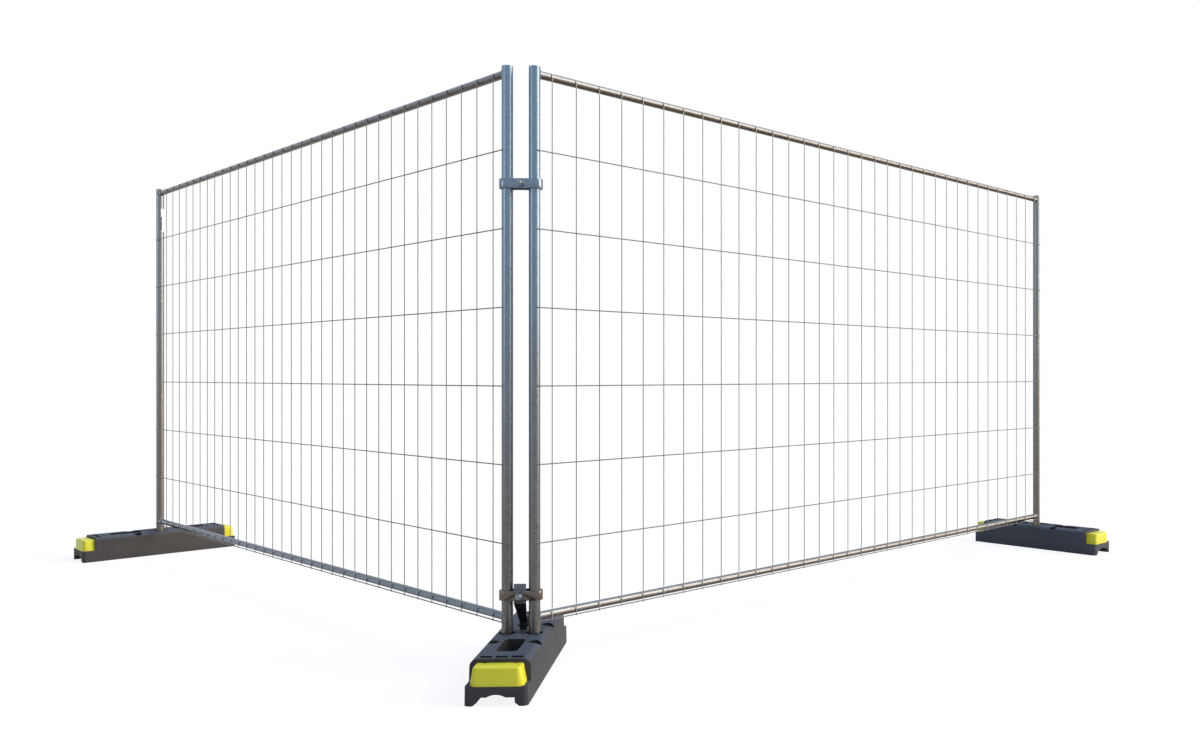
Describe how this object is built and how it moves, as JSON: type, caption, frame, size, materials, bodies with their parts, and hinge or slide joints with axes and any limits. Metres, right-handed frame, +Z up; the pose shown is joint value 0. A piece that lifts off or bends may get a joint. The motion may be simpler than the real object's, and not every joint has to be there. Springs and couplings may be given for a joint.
{
  "type": "temporary fence panel",
  "caption": "Right-angled corner of welded-mesh temporary fence panels on round tube frames, standing in moulded feet with yellow end caps and joined by bolted strap couplers.",
  "frame": {"origin": "on the ground, at the middle of the corner foot's underside, midway between the corner posts", "axes": "+X to the right across the corner, +Y into the corner along its bisector, +Z up"},
  "size_m": [5.644, 3.157, 2.0193],
  "materials": {
    "galvanised_tube": "dull galvanised",
    "mesh_wire": "dull galvanised",
    "coupler_steel": "bright galvanised",
    "zinc_steel": "zinc plated",
    "black_bar": "black coated",
    "moulded_block": "rough moulded",
    "yellow_cap": "satin moulded"
  },
  "bodies": {
    "corner": {"corner_block": "moulded_block", "corner_front_cap": "yellow_cap", "corner_rear_cap": "yellow_cap", "lower_front_strap": "coupler_steel", "lower_rear_strap": "coupler_steel", "lower_bolt": "zinc_steel", "lower_washer": "zinc_steel", "anti_lift_strap": "black_bar"},
    "left_panel": {"left_corner_post": "galvanised_tube", "left_far_post": "galvanised_tube", "left_top_rail": "galvanised_tube", "left_bottom_rail": "galvanised_tube", "left_upright_wires": "mesh_wire", "left_level_wires": "mesh_wire"},
    "right_panel": {"right_corner_post": "galvanised_tube", "right_far_post": "galvanised_tube", "right_top_rail": "galvanised_tube", "right_bottom_rail": "galvanised_tube", "right_upright_wires": "mesh_wire", "right_level_wires": "mesh_wire"},
    "left_foot": {"left_block": "moulded_block", "left_front_cap": "yellow_cap", "left_rear_cap": "yellow_cap"},
    "right_foot": {"right_block": "moulded_block", "right_front_cap": "yellow_cap", "right_rear_cap": "yellow_cap"},
    "upper_coupler": {"upper_front_strap": "coupler_steel", "upper_rear_strap": "coupler_steel", "upper_bolt": "zinc_steel", "upper_washer": "zinc_steel"},
    "upper_nut": {"upper_nut": "zinc_steel"},
    "lower_nut": {"lower_nut": "zinc_steel"}
  },
  "joints": [
    {"name": "left_panel_swing", "type": "hinge", "parent": "corner", "child": "left_panel", "pos_m": [-0.045, 0, 0.1], "axis": [0, 0, 1], "range_deg": [-35, 45]},
    {"name": "right_panel_swing", "type": "hinge", "parent": "corner", "child": "right_panel", "pos_m": [0.045, 0, 0.1], "axis": [0, 0, -1], "range_deg": [-35, 45]},
    {"name": "left_foot_swivel", "type": "hinge", "parent": "left_panel", "child": "left_foot", "pos_m": [-2.46118, 2.41618, 0.1], "axis": [0, 0, 1], "continuous": true},
    {"name": "right_foot_swivel", "type": "hinge", "parent": "right_panel", "child": "right_foot", "pos_m": [2.46118, 2.41618, 0.1], "axis": [0, 0, -1], "continuous": true},
    {"name": "upper_coupler_slide", "type": "slide", "parent": "corner", "child": "upper_coupler", "axis": [0, 0, 1], "range_m": [-0.125, 0.088]},
    {"name": "upper_nut_turn", "type": "hinge", "parent": "upper_coupler", "child": "upper_nut", "pos_m": [0, -0.033, 1.626], "axis": [0, -1, 0], "continuous": true},
    {"name": "lower_nut_turn", "type": "hinge", "parent": "corner", "child": "lower_nut", "pos_m": [0, -0.033, 0.254], "axis": [0, -1, 0], "continuous": true}
  ]
}
